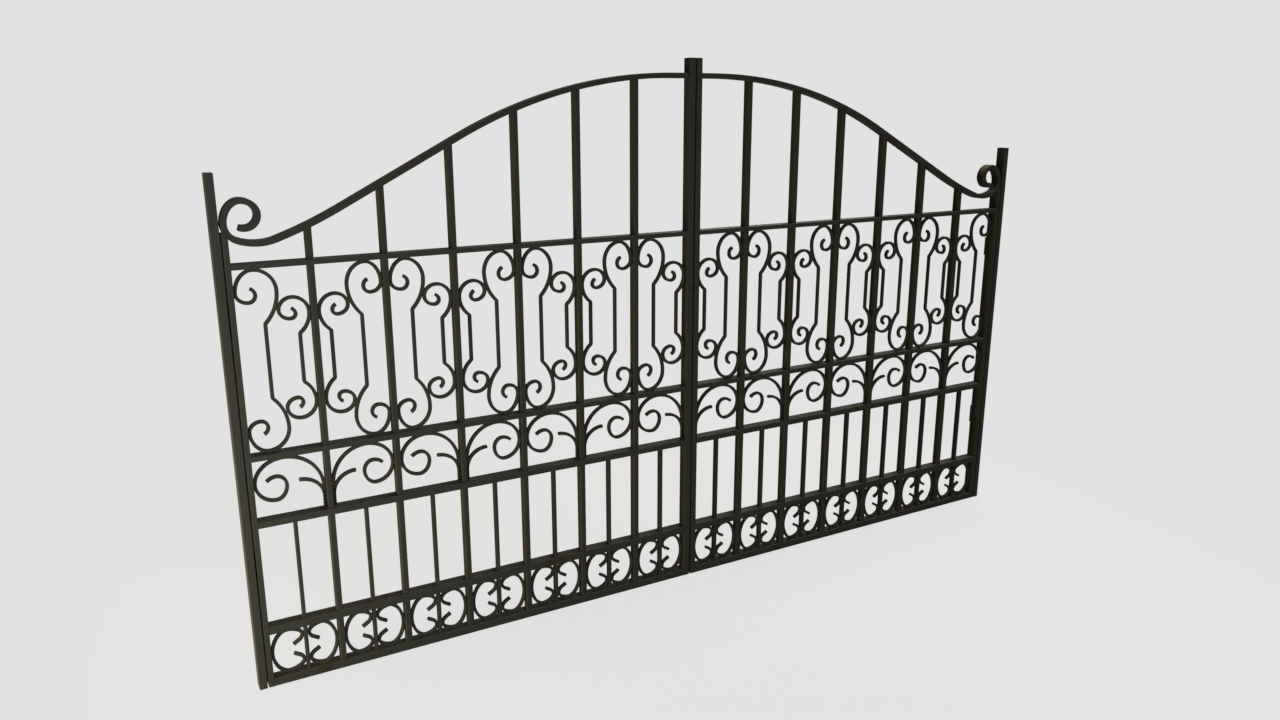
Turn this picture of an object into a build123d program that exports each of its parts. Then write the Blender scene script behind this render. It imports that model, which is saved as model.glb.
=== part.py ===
from build123d import *
from math import ceil, cos, radians, sin, sqrt
import os

os.makedirs("parts", exist_ok=True)

# Double-leaf driveway gate in wrought iron: two posts, two hinged leaves and their scrollwork.
# Millimetres, +Z up. The gate stands in the XZ plane with its front to -Y, and the origin is the
# middle of the left post's foot. Each leaf is drawn in its own view, with x measured outwards
# from the line where the two leaves meet and y measured up, so the right leaf mirrors the left.

# Clearances
seat = 0.3
swing_gap = 5.0
meeting_gap = 7.0
ground_gap = 1.0

# Posts and stiles
frame_depth = 50.0
arris = 1.2
post_width = 28.0
post_height = 1876.0
hanging_stile_width = 19.5
stile_beside_curl = 50.0
meeting_stile_width = 25.75
meeting_stile_rise = 58.75

# Rails, flush with the stiles, by the heights of their lower and upper faces
rail_heights = {
    "bottom": (ground_gap, 30.0),
    "kick": (211.0, 240.5),
    "lower": (630.0, 654.5),
    "middle": (880.5, 900.0),
    "upper": (1556.5, 1575.0),
}

# Upright bars
bar_count = 6
bar_width = 21.0
bar_depth = 36.0
bay_clear = 236.5
end_bay_clear = 248.0
thin_bar_width = 12.0
thin_bar_depth = 25.0

# Arch rail: a flat bar that falls from the meeting stile, dips and curls up beside the post
arch_thick = 21.0
arch_depth = 44.0
arch_low = 1629.5
arch_level = 71.0
crown_radius = 1955.0
crown_turn = 27.7
dip_radius = 1640.0
dip_turn = 8.3
heel_radius = 180.0
heel_past = 20.5
curl_radius = 61.0
curl_over = (75.0, 56.0)
curl_down = (53.0, 47.0)
curl_tip_radius = 45.0
curl_tip_turn = 112.0

# Scroll bar, the same stock in every ornament, drawn with short flats because it repeats so often
scroll_thick = 12.0
scroll_depth = 14.0
kink_radius = 9.0
tip_turn = 67.0
flat_turn = 52.0
flat_length = 61.0

# Small bracket scroll. A pair is the reach of a quarter turn, ahead and sideways
small_kink_turn = 51.0
small_flank_radius = 90.5
small_belly_height = 161.0
small_crown = (57.0, 55.2)
small_shoulder = (46.0, 42.4)
small_cheek = (32.9, 37.3)
small_chin = (17.9, 16.5)
small_tip_radius = 21.0

# Large bracket scroll, held between two rails and pushed against the small one
large_kink_turn = 44.0
large_flank_radius = 157.0
large_rise = 77.5
large_fall = 76.0
large_crown_share = 0.55
large_cheek = (35.3, 39.4)
large_chin = (24.2, 24.4)
large_tip_radius = 25.5

# Palmette: a volute and a leaf on one stem
volute_stem = 87.0
volute_crown_share = 0.57
volute_fall = 86.5
volute_cheek = (69.3, 67.9)
volute_chin = (39.8, 50.4)
volute_eye = (38.0, 34.0)
volute_tip_radius = 48.5
volute_tip_turn = 44.5
leaf_stem = 46.5
leaf_root = (77.0, 57.5)
leaf_end = (88.0, 33.5)

# C scroll beside the thin bars of the kick panel
c_crown_share = 0.51
c_fall = 29.3
c_hook_radius = 28.0
c_hook_turn = 59.5
c_hook_length = 24.0

# Lift-off hinges, behind the gap between post and stile, drawn with flats for the same reason
hinge_heights = (420.0, 1330.0)
pin_radius = 6.0
knuckle_radius = 10.0
knuckle_height = 45.0
knuckle_stand_off = 1.5
knuckle_flats = 12
hinge_plate_thick = 6.0
hinge_plate_width = 17.0

# Places along a leaf, outwards from the meeting line
meeting_edge = meeting_gap / 2 + meeting_stile_width
bar_pitch = bay_clear + bar_width
bar_places = [meeting_edge + bay_clear + bar_width / 2 + bar_pitch * i for i in range(bar_count)]
stile_inner = bar_places[-1] + bar_width / 2 + end_bay_clear
stile_outer = stile_inner + hanging_stile_width
post_inner = stile_outer + swing_gap
centre_x = post_inner + post_width / 2
hinge_x = stile_outer + swing_gap / 2
hinge_y = frame_depth / 2 + knuckle_stand_off + knuckle_radius

# Bays as (inner face, outer face), and the thin bars half a pitch outside each bar
bay_inner = [meeting_edge] + [x + bar_width / 2 for x in bar_places]
bay_outer = [x - bar_width / 2 for x in bar_places] + [stile_inner]
bays = list(zip(bay_inner, bay_outer))
thin_places = [(meeting_edge + bay_outer[0]) / 2] + [x + bar_pitch / 2 for x in bar_places]

# Distance from an upright's face to the middle of a scroll bar that leans on it
lean = seat + scroll_thick / 2

LEFT = 1
RIGHT = -1


def leaf_view(side):
    """Plane of one leaf: x runs outwards from the meeting line, y up, for side -1 or 1."""
    return Plane(origin=(centre_x, 0, 0), x_dir=(side, 0, 0), z_dir=(0, -side, 0))


def bay_view(side, near, toward, height):
    """Plane of one bay or half bay: x runs from the face at near, outwards or inwards."""
    hand = side * toward
    return Plane(origin=(centre_x + side * near, 0, height), x_dir=(hand, 0, 0), z_dir=(0, -hand, 0))


def quarter(hand, ahead, sideways, arcs=3):
    """Two or three tangent arcs that make a quarter turn with the given reach ahead and sideways."""
    turn = 90 / arcs
    share = (sin(radians(turn)) + cos(radians(turn))) / 2
    first = (share * ahead - (1 - share) * sideways) / (2 * share - 1)
    last = (share * sideways - (1 - share) * ahead) / (2 * share - 1)
    growth = (last - first) / (arcs - 1)
    return [(first + growth * index, hand * turn) for index in range(arcs)]


def travel(steps, heading):
    """Reach in x and y of a bent bar's centre line, from its start to its end."""
    x = 0
    y = 0
    angle = radians(heading)
    for radius, amount in steps:
        if radius is None:
            x += amount * cos(angle)
            y += amount * sin(angle)
        else:
            hand = LEFT if amount > 0 else RIGHT
            turned = angle + radians(amount)
            x += hand * radius * (sin(turned) - sin(angle))
            y -= hand * radius * (cos(turned) - cos(angle))
            angle = turned
    return x, y


def bar_side(start, heading, steps, offset, with_flats=False):
    """Lines and arcs of one side of a bent bar, at an offset to the left of its centre line."""
    direction = Vector(cos(radians(heading)), sin(radians(heading)))
    point = Vector(*start) + Vector(-direction.Y, direction.X) * offset
    first = point
    for radius, amount in steps:
        if radius is None:
            point = Line(point, point + direction * amount) @ 1
            continue
        hand = LEFT if amount > 0 else RIGHT
        side_radius = radius - hand * offset
        if not with_flats:
            bend = JernArc(point, direction, side_radius, amount)
            point = bend @ 1
            direction = bend % 1
            continue
        flats = ceil(max(abs(amount) / flat_turn, radius * radians(abs(amount)) / flat_length))
        turn = amount / flats
        length = 2 * side_radius * sin(radians(abs(turn) / 2))
        for _ in range(flats):
            point = Line(point, point + direction.rotate(Axis.Z, turn / 2) * length) @ 1
            direction = direction.rotate(Axis.Z, turn)
    return first, point


def bent_bar(start, heading, steps, left, right, with_flats=False):
    """Face of a flat bar bent on edge, from arcs (radius, turn) and straights (None, length)."""
    with BuildLine() as outline:
        left_start, left_end = bar_side(start, heading, steps, left, with_flats)
        right_start, right_end = bar_side(start, heading, steps, -right, with_flats)
        Line(left_start, right_start)
        Line(left_end, right_end)
    return make_face(outline.edges())


def scroll(start, steps):
    """Face of a scroll in the ornament's own bar, set off upwards."""
    return bent_bar(start, 90, steps, scroll_thick / 2, scroll_thick / 2, with_flats=True)


def kink_and_flank(kink_turn, flank_radius, belly_height):
    """Shank from mid height, its kink towards the belly and the flank that swells up to it."""
    bend = kink_radius + flank_radius
    shank = belly_height - bend * sin(radians(kink_turn))
    return [(None, shank), (kink_radius, LEFT * kink_turn), (flank_radius, RIGHT * kink_turn)]


def shank_place(belly_place, kink_turn, flank_radius):
    """Distance of a shank from the face at 0, given that of its belly."""
    return belly_place + (kink_radius + flank_radius) * (1 - cos(radians(kink_turn)))


# Arch rail: the straight is as long as brings the curl beside the post
to_level = [(dip_radius, LEFT * dip_turn), (heel_radius, LEFT * (crown_turn - dip_turn))]
from_level = [(heel_radius, LEFT * heel_past), (curl_radius, LEFT * (90 - heel_past))]
fall_start = [(None, arch_level), (crown_radius, RIGHT * crown_turn)]
bent_reach = travel(fall_start, 0)[0] + travel(to_level, -crown_turn)[0] + travel(from_level, 0)[0]
arch_reach = stile_outer - arch_thick / 2 - meeting_edge
arch_straight = (arch_reach - bent_reach) / cos(radians(crown_turn))
arch_fall = fall_start + [(None, arch_straight)] + to_level
arch_curl = from_level + quarter(LEFT, *curl_over) + quarter(LEFT, *curl_down)
arch_curl += [(curl_tip_radius, LEFT * curl_tip_turn)]
arch_start = (meeting_edge, arch_low + arch_thick / 2 - travel(arch_fall, 0)[1])
meeting_stile_top = arch_start[1] + arch_thick / 2 + meeting_stile_rise

# Small scroll: its belly leans on the upright at 0
small_steps = kink_and_flank(small_kink_turn, small_flank_radius, small_belly_height)
small_steps += quarter(RIGHT, *small_crown) + quarter(RIGHT, *small_shoulder)
small_steps += quarter(RIGHT, *small_cheek, arcs=2) + quarter(RIGHT, *small_chin, arcs=2)
small_steps += [(small_tip_radius, RIGHT * tip_turn)]
small_shank = shank_place(lean, small_kink_turn, small_flank_radius)

# Large scroll: its flank touches the small one's shoulder, whose arc has its centre here
panel_half = (rail_heights["upper"][0] - rail_heights["middle"][1]) / 2
panel_middle = (rail_heights["upper"][0] + rail_heights["middle"][1]) / 2
shoulder_radius = quarter(RIGHT, *small_shoulder)[-1][0]
shoulder_x = lean + small_crown[1] + small_shoulder[0] - shoulder_radius
shoulder_y = small_belly_height + small_crown[0] - small_shoulder[1]
large_belly_height = panel_half - lean - large_rise
touch_distance = large_flank_radius + shoulder_radius + scroll_thick + seat
touch_across = sqrt(touch_distance**2 - (large_belly_height - shoulder_y) ** 2)
large_belly = shoulder_x + touch_across - large_flank_radius
large_shank = shank_place(large_belly, large_kink_turn, large_flank_radius)


def large_steps(clear):
    """Upper half of the large scroll in a bay of the given clear width."""
    width = clear - lean - large_belly
    crown = large_crown_share * width
    steps = kink_and_flank(large_kink_turn, large_flank_radius, large_belly_height)
    steps += quarter(RIGHT, large_rise, crown) + quarter(RIGHT, width - crown, large_fall)
    steps += quarter(RIGHT, *large_cheek, arcs=2) + quarter(RIGHT, *large_chin, arcs=2)
    return steps + [(large_tip_radius, RIGHT * tip_turn)]


def volute_steps(clear):
    """Volute from its foot on the lower rail, over to the far upright and into its eye."""
    width = clear - 2 * lean
    crown = volute_crown_share * width
    top = rail_heights["middle"][0] - rail_heights["lower"][1] - lean
    steps = [(None, volute_stem)] + quarter(RIGHT, top - volute_stem, crown)
    steps += quarter(RIGHT, width - crown, volute_fall) + quarter(RIGHT, *volute_cheek)
    steps += quarter(RIGHT, *volute_chin, arcs=2) + quarter(RIGHT, *volute_eye, arcs=2)
    return steps + [(volute_tip_radius, RIGHT * volute_tip_turn)]


leaf_steps = [(None, leaf_stem), (leaf_root[0], RIGHT * leaf_root[1]), (leaf_end[0], RIGHT * leaf_end[1])]

kick_half = (rail_heights["kick"][0] - rail_heights["bottom"][1]) / 2
kick_middle = (rail_heights["kick"][0] + rail_heights["bottom"][1]) / 2


def c_steps(clear):
    """Upper half of a C scroll between an upright and the thin bar."""
    width = clear - 2 * lean
    crown = c_crown_share * width
    steps = quarter(RIGHT, kick_half - lean, crown) + quarter(RIGHT, width - crown, c_fall, arcs=2)
    return steps + [(c_hook_radius, RIGHT * c_hook_turn), (None, c_hook_length)]


def half_bays():
    """Half bays of the kick panel as (face of the upright, side of the thin bar, clear width)."""
    halves = []
    for (inner, outer), thin in zip(bays, thin_places):
        halves.append((inner, 1, thin - thin_bar_width / 2 - inner))
        halves.append((outer, -1, outer - thin - thin_bar_width / 2))
    return halves


def home_faces():
    """Bays as (face that the stem and small scroll lean on, way to the other face, clear width)."""
    homes = []
    for index, (inner, outer) in enumerate(bays):
        if index % 2 == 0:
            homes.append((inner, 1, outer - inner))
        else:
            homes.append((outer, -1, outer - inner))
    return homes


def finish(builder, name):
    builder.part.label = name
    export_step(builder.part, f"parts/{name}.step")


# Posts: flat bar set on end, with its arrises eased
for side, hand in (("left", -1), ("right", 1)):
    with BuildPart() as post:
        with Locations((centre_x + hand * (post_inner + post_width / 2), 0, 0)):
            Box(post_width, frame_depth, post_height, align=(Align.CENTER, Align.CENTER, Align.MIN))
        chamfer(post.edges().filter_by(Axis.Z), arris)
    finish(post, f"{side}_post")

    # Hinge pins on the post: a plate on its back carries the lower knuckle and the pin
    with BuildPart() as pins:
        for height in hinge_heights:
            with BuildSketch(Plane.XY.offset(height)):
                with Locations((centre_x + hand * hinge_x, hinge_y)):
                    RegularPolygon(knuckle_radius, knuckle_flats)
                with Locations((centre_x + hand * (post_inner + hinge_plate_width / 2), frame_depth / 2)):
                    Rectangle(hinge_plate_width, hinge_plate_thick, align=(Align.CENTER, Align.MIN))
            extrude(amount=knuckle_height)
            with BuildSketch(Plane.XY.offset(height + knuckle_height)):
                with Locations((centre_x + hand * hinge_x, hinge_y)):
                    RegularPolygon(pin_radius, knuckle_flats)
            extrude(amount=knuckle_height + seat)
    finish(pins, f"{side}_hinge_pins")

    # Hinge eyes on the hanging stile, over the pins
    with BuildPart() as eyes:
        for height in hinge_heights:
            with BuildSketch(Plane.XY.offset(height + knuckle_height + seat)):
                with Locations((centre_x + hand * hinge_x, hinge_y)):
                    RegularPolygon(knuckle_radius, knuckle_flats)
                with Locations((centre_x + hand * (stile_outer - hinge_plate_width / 2), frame_depth / 2)):
                    Rectangle(hinge_plate_width, hinge_plate_thick, align=(Align.CENTER, Align.MIN))
                with Locations((centre_x + hand * hinge_x, hinge_y)):
                    RegularPolygon(pin_radius + seat, knuckle_flats, major_radius=False, mode=Mode.SUBTRACT)
            extrude(amount=knuckle_height)
    finish(eyes, f"{side}_hinge_eyes")

    # Hanging stile: its head is cut to the underside of the arch rail's curl
    view = leaf_view(hand)
    with BuildPart() as hanging_stile:
        with BuildSketch(view):
            stile_head = arch_low + stile_beside_curl
            with Locations((stile_inner, ground_gap)):
                Rectangle(hanging_stile_width, stile_head - ground_gap, align=(Align.MIN, Align.MIN))
            with BuildSketch(mode=Mode.SUBTRACT):
                bent_bar(arch_start, 0, arch_fall + arch_curl[:2], curl_radius / 2, arch_thick / 2 + seat)
        extrude(amount=frame_depth / 2, both=True)
        chamfer(hanging_stile.edges().filter_by(Axis.Z), arris)
    finish(hanging_stile, f"{side}_hanging_stile")

    # Meeting stile
    with BuildPart() as meeting_stile:
        with BuildSketch(view):
            with Locations((meeting_gap / 2, ground_gap)):
                stile_height = meeting_stile_top - ground_gap
                Rectangle(meeting_stile_width, stile_height, align=(Align.MIN, Align.MIN))
        extrude(amount=frame_depth / 2, both=True)
        chamfer(meeting_stile.edges().filter_by(Axis.Z), arris)
    finish(meeting_stile, f"{side}_meeting_stile")

    # Rails, butted between the two stiles
    for rail_name, (under, over) in rail_heights.items():
        with BuildPart() as rail:
            with BuildSketch(view):
                with Locations((meeting_edge, under)):
                    Rectangle(stile_inner - meeting_edge, over - under, align=(Align.MIN, Align.MIN))
            extrude(amount=frame_depth / 2, both=True)
        finish(rail, f"{side}_{rail_name}_rail")

    # Arch rail
    with BuildPart() as arch:
        with BuildSketch(view):
            bent_bar(arch_start, 0, arch_fall + arch_curl, arch_thick / 2, arch_thick / 2)
        extrude(amount=arch_depth / 2, both=True)
    finish(arch, f"{side}_arch_rail")

    # Tall bars: cut between the rails, and to the underside of the arch rail
    levels = list(rail_heights.values())
    with BuildPart() as tall_bars:
        for (_, floor), (ceiling, _) in zip(levels[:-1], levels[1:]):
            with BuildSketch(view):
                for place in bar_places:
                    with Locations((place, floor)):
                        Rectangle(bar_width, ceiling - floor, align=(Align.CENTER, Align.MIN))
            extrude(amount=bar_depth / 2, both=True)
        upper_face = levels[-1][1]
        with BuildSketch(view):
            with BuildLine():
                start, end = bar_side(arch_start, 0, arch_fall, -arch_thick / 2 - seat)
                Polyline(end, (end.X, upper_face), (start.X, upper_face), start)
            make_face()
            with BuildSketch(mode=Mode.INTERSECT):
                for place in bar_places:
                    with Locations((place, upper_face)):
                        Rectangle(bar_width, meeting_stile_top - upper_face, align=(Align.CENTER, Align.MIN))
        extrude(amount=bar_depth / 2, both=True)
    finish(tall_bars, f"{side}_tall_bars")

    # Thin bars: from the bottom rail to the kick rail, and on to the lower rail
    with BuildPart() as thin_bars:
        for (_, floor), (ceiling, _) in zip(levels[:2], levels[1:3]):
            with BuildSketch(view):
                for place in thin_places:
                    with Locations((place, floor)):
                        Rectangle(thin_bar_width, ceiling - floor, align=(Align.CENTER, Align.MIN))
        extrude(amount=thin_bar_depth / 2, both=True)
    finish(thin_bars, f"{side}_thin_bars")

    # Large and small bracket scrolls between the middle and upper rails
    with BuildPart() as large_scrolls:
        for home, toward, clear in home_faces():
            with BuildSketch(bay_view(hand, home, toward, panel_middle)):
                scroll((large_shank, 0), large_steps(clear))
                mirror(about=Plane.XZ)
        extrude(amount=scroll_depth / 2, both=True)
    finish(large_scrolls, f"{side}_large_scrolls")

    with BuildPart() as small_scrolls:
        for home, toward, _ in home_faces():
            with BuildSketch(bay_view(hand, home, toward, panel_middle)):
                scroll((small_shank, 0), small_steps)
                mirror(about=Plane.XZ)
        extrude(amount=scroll_depth / 2, both=True)
    finish(small_scrolls, f"{side}_small_scrolls")

    # Palmettes between the lower and middle rails: volute and leaf forged on one stem
    with BuildPart() as palmettes:
        for home, toward, clear in home_faces():
            with BuildSketch(bay_view(hand, home, toward, rail_heights["lower"][1])):
                scroll((lean, 0), volute_steps(clear))
                scroll((lean, 0), leaf_steps)
        extrude(amount=scroll_depth / 2, both=True)
    finish(palmettes, f"{side}_palmettes")

    # C scrolls of the kick panel, back to back with the uprights
    with BuildPart() as c_scrolls:
        for face, toward, clear in half_bays():
            with BuildSketch(bay_view(hand, face, toward, kick_middle)):
                scroll((lean, 0), c_steps(clear))
                mirror(about=Plane.XZ)
        extrude(amount=scroll_depth / 2, both=True)
    finish(c_scrolls, f"{side}_c_scrolls")
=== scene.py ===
import bmesh
import bpy
from math import ceil, cos, radians, sin, sqrt
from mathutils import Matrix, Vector


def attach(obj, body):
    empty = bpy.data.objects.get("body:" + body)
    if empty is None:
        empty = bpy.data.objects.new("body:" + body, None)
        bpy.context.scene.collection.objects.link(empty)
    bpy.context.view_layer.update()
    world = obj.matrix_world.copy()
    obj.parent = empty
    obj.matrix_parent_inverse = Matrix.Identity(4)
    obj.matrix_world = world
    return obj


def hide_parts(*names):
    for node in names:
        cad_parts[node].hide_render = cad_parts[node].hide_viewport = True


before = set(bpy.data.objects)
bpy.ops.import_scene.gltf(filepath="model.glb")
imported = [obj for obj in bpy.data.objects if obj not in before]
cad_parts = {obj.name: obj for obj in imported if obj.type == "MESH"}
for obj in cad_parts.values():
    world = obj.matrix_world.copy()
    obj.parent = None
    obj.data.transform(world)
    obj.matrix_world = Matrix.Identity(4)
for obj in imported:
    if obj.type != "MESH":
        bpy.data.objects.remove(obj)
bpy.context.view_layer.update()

# Posts. One each side, a flat steel bar stood on end and carrying its leaf at two heights. It is
# rolled with eased arrises, and painted like the whole gate: a dark bronze-black coat, matt, that
# lets brown iron show through in thin patches; more brown on the bars' sides is painted warm side
# light.


def shader_group(name, inputs, outputs):
    """A shader node group with its sockets, and its input and output nodes."""
    group = bpy.data.node_groups.new(name, "ShaderNodeTree")
    for label, kind, value in inputs:
        socket = group.interface.new_socket(label, in_out="INPUT", socket_type=kind)
        socket.default_value = value
    for label, kind in outputs:
        group.interface.new_socket(label, in_out="OUTPUT", socket_type=kind)
    return group, group.nodes.new("NodeGroupInput"), group.nodes.new("NodeGroupOutput")


def add_node(tree, kind, values=None, **properties):
    """A node with its properties, and with values on its input sockets."""
    node = tree.nodes.new(kind)
    for key, value in properties.items():
        setattr(node, key, value)
    for key, value in (values or {}).items():
        node.inputs[key].default_value = value
    return node


FLOAT = "NodeSocketFloat"
COLOR = "NodeSocketColor"

# Mottled film: two sizes of cloudy patches choose between the paint's dark and its brown, and faces
# that look along x get more of the brown, as painted warm side light on the sides of the bars
mottle, mottle_in, mottle_out = shader_group(
    "mottled film",
    [("Dark", COLOR, (0.02, 0.02, 0.017, 1)), ("Brown", COLOR, (0.03, 0.02, 0.01, 1)),
     ("Patch size", FLOAT, 9.0), ("Thick from", FLOAT, 0.5), ("Painted side light", FLOAT, 0.3)],
    [("Color", COLOR), ("Mask", FLOAT)])
where = add_node(mottle, "ShaderNodeTexCoord")
facing = add_node(mottle, "ShaderNodeSeparateXYZ")
sideways = add_node(mottle, "ShaderNodeMath", operation="ABSOLUTE")
painted_side_light = add_node(mottle, "ShaderNodeMath", operation="MULTIPLY")
start = add_node(mottle, "ShaderNodeMath", operation="SUBTRACT")
clouds = add_node(mottle, "ShaderNodeTexNoise", {"Detail": 5.0, "Roughness": 0.6})
grit = add_node(mottle, "ShaderNodeTexNoise", {"Scale": 140.0, "Detail": 3.0})
blend = add_node(mottle, "ShaderNodeMath", {1: 0.35}, operation="MULTIPLY_ADD")
edge = add_node(mottle, "ShaderNodeMapRange", {"From Max": 0.85, "To Min": 0.0, "To Max": 1.0})
colour = add_node(mottle, "ShaderNodeMix", data_type="RGBA")
mottle.links.new(where.outputs["Object"], clouds.inputs["Vector"])
mottle.links.new(where.outputs["Object"], grit.inputs["Vector"])
mottle.links.new(mottle_in.outputs["Patch size"], clouds.inputs["Scale"])
mottle.links.new(grit.outputs["Fac"], blend.inputs[0])
mottle.links.new(clouds.outputs["Fac"], blend.inputs[2])
mottle.links.new(blend.outputs[0], edge.inputs["Value"])
mottle.links.new(where.outputs["Normal"], facing.inputs[0])
# Painted warm side light: the more a face looks along x, the more of it turns brown
mottle.links.new(facing.outputs["X"], sideways.inputs[0])
mottle.links.new(sideways.outputs[0], painted_side_light.inputs[0])
mottle.links.new(mottle_in.outputs["Painted side light"], painted_side_light.inputs[1])
mottle.links.new(mottle_in.outputs["Thick from"], start.inputs[0])
mottle.links.new(painted_side_light.outputs[0], start.inputs[1])
mottle.links.new(start.outputs[0], edge.inputs["From Min"])
mottle.links.new(edge.outputs[0], colour.inputs["Factor"])
mottle.links.new(mottle_in.outputs["Dark"], colour.inputs["A"])
mottle.links.new(mottle_in.outputs["Brown"], colour.inputs["B"])
mottle.links.new(colour.outputs["Result"], mottle_out.inputs["Color"])
mottle.links.new(edge.outputs[0], mottle_out.inputs["Mask"])

# Bared arrises: paint rubbed thin along the eased edges, in broken stretches
bared, bared_in, bared_out = shader_group(
    "bared arrises", [("Amount", FLOAT, 0.5), ("Stretch", FLOAT, 30.0)], [("Mask", FLOAT)])
where = add_node(bared, "ShaderNodeTexCoord")
arris_mark = add_node(bared, "ShaderNodeAttribute", attribute_name="arris")
breaks = add_node(bared, "ShaderNodeTexNoise", {"Detail": 4.0})
span = add_node(bared, "ShaderNodeMapRange", {"From Min": 0.35, "From Max": 0.6})
share = add_node(bared, "ShaderNodeMath", operation="MULTIPLY")
amount = add_node(bared, "ShaderNodeMath", operation="MULTIPLY")
bared.links.new(where.outputs["Object"], breaks.inputs["Vector"])
bared.links.new(bared_in.outputs["Stretch"], breaks.inputs["Scale"])
bared.links.new(breaks.outputs["Fac"], span.inputs["Value"])
bared.links.new(span.outputs[0], share.inputs[0])
bared.links.new(arris_mark.outputs["Fac"], share.inputs[1])
bared.links.new(share.outputs[0], amount.inputs[0])
bared.links.new(bared_in.outputs["Amount"], amount.inputs[1])
bared.links.new(amount.outputs[0], bared_out.inputs["Mask"])

# Settled dust: a pale film on whatever faces up, thinner in cloudy patches
dust, dust_in, dust_out = shader_group("settled dust", [("Amount", FLOAT, 0.3)], [("Mask", FLOAT)])
where = add_node(dust, "ShaderNodeTexCoord")
facing = add_node(dust, "ShaderNodeNewGeometry")
split = add_node(dust, "ShaderNodeSeparateXYZ")
upward = add_node(dust, "ShaderNodeMapRange", {"From Min": 0.5, "From Max": 0.95})
patches = add_node(dust, "ShaderNodeTexNoise", {"Scale": 22.0, "Detail": 4.0})
thin = add_node(dust, "ShaderNodeMath", operation="MULTIPLY")
level = add_node(dust, "ShaderNodeMath", operation="MULTIPLY")
dust.links.new(facing.outputs["Normal"], split.inputs[0])
dust.links.new(split.outputs["Z"], upward.inputs["Value"])
dust.links.new(where.outputs["Object"], patches.inputs["Vector"])
dust.links.new(upward.outputs[0], thin.inputs[0])
dust.links.new(patches.outputs["Fac"], thin.inputs[1])
dust.links.new(thin.outputs[0], level.inputs[0])
dust.links.new(dust_in.outputs["Amount"], level.inputs[1])
dust.links.new(level.outputs[0], dust_out.inputs["Mask"])

# Worked surface: soft dents at the size of the hammer's face, over the fine grain of the paint
worked, worked_in, worked_out = shader_group(
    "worked surface",
    [("Dent size", FLOAT, 60.0), ("Dents", FLOAT, 0.6), ("Grain", FLOAT, 0.2)], [("Height", FLOAT)])
where = add_node(worked, "ShaderNodeTexCoord")
dents = add_node(worked, "ShaderNodeTexVoronoi", feature="SMOOTH_F1")
grain = add_node(worked, "ShaderNodeTexNoise", {"Scale": 700.0, "Detail": 2.0})
dent_level = add_node(worked, "ShaderNodeMath", operation="MULTIPLY")
grain_level = add_node(worked, "ShaderNodeMath", operation="MULTIPLY")
total = add_node(worked, "ShaderNodeMath", operation="ADD")
worked.links.new(where.outputs["Object"], dents.inputs["Vector"])
worked.links.new(where.outputs["Object"], grain.inputs["Vector"])
worked.links.new(worked_in.outputs["Dent size"], dents.inputs["Scale"])
worked.links.new(dents.outputs["Distance"], dent_level.inputs[0])
worked.links.new(worked_in.outputs["Dents"], dent_level.inputs[1])
worked.links.new(grain.outputs["Fac"], grain_level.inputs[0])
worked.links.new(worked_in.outputs["Grain"], grain_level.inputs[1])
worked.links.new(dent_level.outputs[0], total.inputs[0])
worked.links.new(grain_level.outputs[0], total.inputs[1])
worked.links.new(total.outputs[0], worked_out.inputs["Height"])


def place_group(tree, group, values):
    """A shader group as a node of a material, with values on its inputs."""
    node = tree.nodes.new("ShaderNodeGroup")
    node.node_tree = group
    for key, value in values.items():
        node.inputs[key].default_value = value
    return node


def painted_iron(name, dark, brown, bare, gloss, film, rub, settled, surface, bump):
    """Painted iron with its own colours and its own share of each effect."""
    dust_colour = (0.075, 0.064, 0.044, 1)
    duller_where_brown = 0.16
    material = bpy.data.materials.new(name)
    material.use_nodes = True
    tree = material.node_tree
    shader = tree.nodes["Principled BSDF"]
    film_node = place_group(tree, mottle, {"Dark": (*dark, 1), "Brown": (*brown, 1), **film})
    rub_node = place_group(tree, bared, rub)
    dust_node = place_group(tree, dust, settled)
    work_node = place_group(tree, worked, surface)
    worn = add_node(tree, "ShaderNodeMix", {"B": (*bare, 1)}, data_type="RGBA")
    dusty = add_node(tree, "ShaderNodeMix", {"B": dust_colour}, data_type="RGBA")
    matt = add_node(tree, "ShaderNodeMapRange", {"To Min": gloss, "To Max": gloss + duller_where_brown})
    relief = add_node(tree, "ShaderNodeBump", {"Strength": bump, "Distance": 0.001})
    tree.links.new(film_node.outputs["Color"], worn.inputs["A"])
    tree.links.new(rub_node.outputs["Mask"], worn.inputs["Factor"])
    tree.links.new(worn.outputs["Result"], dusty.inputs["A"])
    tree.links.new(dust_node.outputs["Mask"], dusty.inputs["Factor"])
    tree.links.new(dusty.outputs["Result"], shader.inputs["Base Color"])
    tree.links.new(film_node.outputs["Mask"], matt.inputs["Value"])
    tree.links.new(matt.outputs[0], shader.inputs["Roughness"])
    tree.links.new(work_node.outputs["Height"], relief.inputs["Height"])
    tree.links.new(relief.outputs["Normal"], shader.inputs["Normal"])
    shader.inputs["Metallic"].default_value = 0.0
    shader.inputs["Specular IOR Level"].default_value = 0.015
    return material


frame_iron = painted_iron(
    "frame paint", dark=(0.0372, 0.0383, 0.0318), brown=(0.0355, 0.0275, 0.0165),
    bare=(0.066, 0.050, 0.032), gloss=0.58,
    film={"Patch size": 7.0, "Thick from": 0.80, "Painted side light": 0.58},
    rub={"Amount": 0.4, "Stretch": 24.0}, settled={"Amount": 0.5},
    surface={"Dent size": 34.0, "Dents": 0.35, "Grain": 0.16}, bump=0.22)
frame_arris = 0.0011


def cleaned(node):
    """A copy of a CAD node's mesh, with its loose triangles joined into flat faces."""
    same_point = 0.00001
    same_plane = radians(0.5)
    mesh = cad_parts[node].data.copy()
    shape = bmesh.new()
    shape.from_mesh(mesh)
    bmesh.ops.remove_doubles(shape, verts=shape.verts, dist=same_point)
    bmesh.ops.dissolve_limit(shape, angle_limit=same_plane, verts=shape.verts, edges=shape.edges)
    return mesh, shape


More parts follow.
